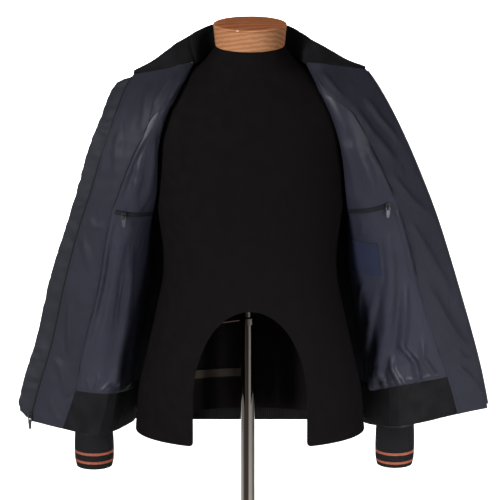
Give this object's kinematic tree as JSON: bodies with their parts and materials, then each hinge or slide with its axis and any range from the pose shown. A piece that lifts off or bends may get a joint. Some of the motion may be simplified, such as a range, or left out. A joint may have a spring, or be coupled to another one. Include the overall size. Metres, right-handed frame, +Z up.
{
  "type": "bomber jacket on a dress form",
  "caption": "Lined bomber jacket worn wide open on a limbless dress form, with knit collar, cuffs and hem, on a telescoping pole.",
  "frame": {"origin": "centre of the stand's round base, on the floor", "axes": "+X to the wearer's left, +Y to the wearer's back, +Z up; the open front faces -Y"},
  "size_m": [0.8517, 0.376, 1.2503],
  "materials": {
    "shell": "matt coated woven cloth",
    "lining": "satin nylon",
    "facing": "satin nylon",
    "knit": "ribbed knit",
    "striped_knit": "ribbed knit with two rust stripes",
    "zip_tape": "woven tape with moulded teeth",
    "zip_metal": "dark nickel",
    "label_cloth": "woven",
    "form_cover": "jersey over a moulded shell",
    "cap_wood": "varnished",
    "pole_chrome": "polished",
    "base_paint": "satin"
  },
  "bodies": {
    "stand": {"base": "base_paint", "outer_tube": "pole_chrome", "clamp": "pole_chrome"},
    "rod": {"inner_rod": "pole_chrome"},
    "dressed_form": {"back": "shell", "front_right": "shell", "front_left": "shell", "storm_flap": "shell", "facing_right": "facing", "facing_left": "facing", "lining_right": "lining", "lining_left": "lining", "sleeve_right": "shell", "sleeve_left": "shell", "cuff_right": "striped_knit", "cuff_left": "striped_knit", "hem_band": "knit", "collar": "knit", "zip_right": "zip_tape", "zip_left": "zip_tape", "main_slider": "zip_metal", "pocket_zip_right": "zip_tape", "pocket_zip_left": "zip_tape", "pocket_right_slider": "zip_metal", "pocket_left_slider": "zip_metal", "label": "label_cloth", "torso_form": "form_cover", "neck_cap": "cap_wood"},
    "main_tab": {"main_pull": "zip_metal"},
    "pocket_right_tab": {"pocket_right_pull": "zip_metal"},
    "pocket_left_tab": {"pocket_left_pull": "zip_metal"}
  },
  "joints": [
    {"name": "height", "type": "slide", "parent": "stand", "child": "rod", "axis": [0, 0, 1], "range_m": [-0.1, 0.15]},
    {"name": "swivel", "type": "hinge", "parent": "rod", "child": "dressed_form", "pos_m": [0, 0, 1.13], "axis": [0, 0, 1], "continuous": true},
    {"name": "main_pull_hinge", "type": "hinge", "parent": "dressed_form", "child": "main_tab", "pos_m": [-0.39244, 0.06431, 0.51731], "axis": [-0.891, 0.454, 0], "range_deg": [-4, 110]},
    {"name": "pocket_right_hinge", "type": "hinge", "parent": "dressed_form", "child": "pocket_right_tab", "pos_m": [-0.21187, -0.06338, 0.92621], "axis": [-0.9908, 0.1352, 0], "range_deg": [-15, 110]},
    {"name": "pocket_left_hinge", "type": "hinge", "parent": "dressed_form", "child": "pocket_left_tab", "pos_m": [0.23998, -0.05913, 0.94217], "axis": [-0.9576, -0.2882, 0], "range_deg": [-12, 110]}
  ]
}
